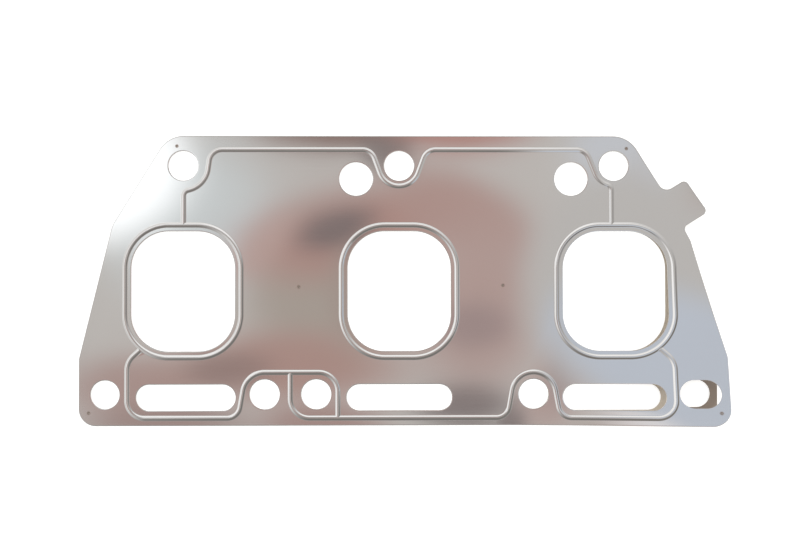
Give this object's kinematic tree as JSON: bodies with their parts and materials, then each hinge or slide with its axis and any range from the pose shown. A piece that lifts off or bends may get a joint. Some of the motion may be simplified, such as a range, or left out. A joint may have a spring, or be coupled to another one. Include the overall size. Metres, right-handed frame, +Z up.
{
  "type": "exhaust manifold gasket",
  "caption": "Flat two-layer embossed steel gasket with rounded exhaust ports, coolant slots, bolt holes and a locating tab, one corner sprung.",
  "frame": {"origin": "centre of the box on the plane that the lower beads stand on", "axes": "+X along the row of ports towards the end with the tab, +Y towards the narrow edge, +Z up, square to the sheet"},
  "size_m": [0.3254, 0.1478, 0.0202],
  "materials": {
    "upper_steel": "bright rolled stainless sheet",
    "lower_steel": "bright rolled stainless sheet",
    "weld_steel": "weld spot with brown heat tint"
  },
  "bodies": {
    "root": {"upper_layer": "upper_steel", "lower_layer": "lower_steel", "spot_welds": "weld_steel"}
  },
  "joints": []
}
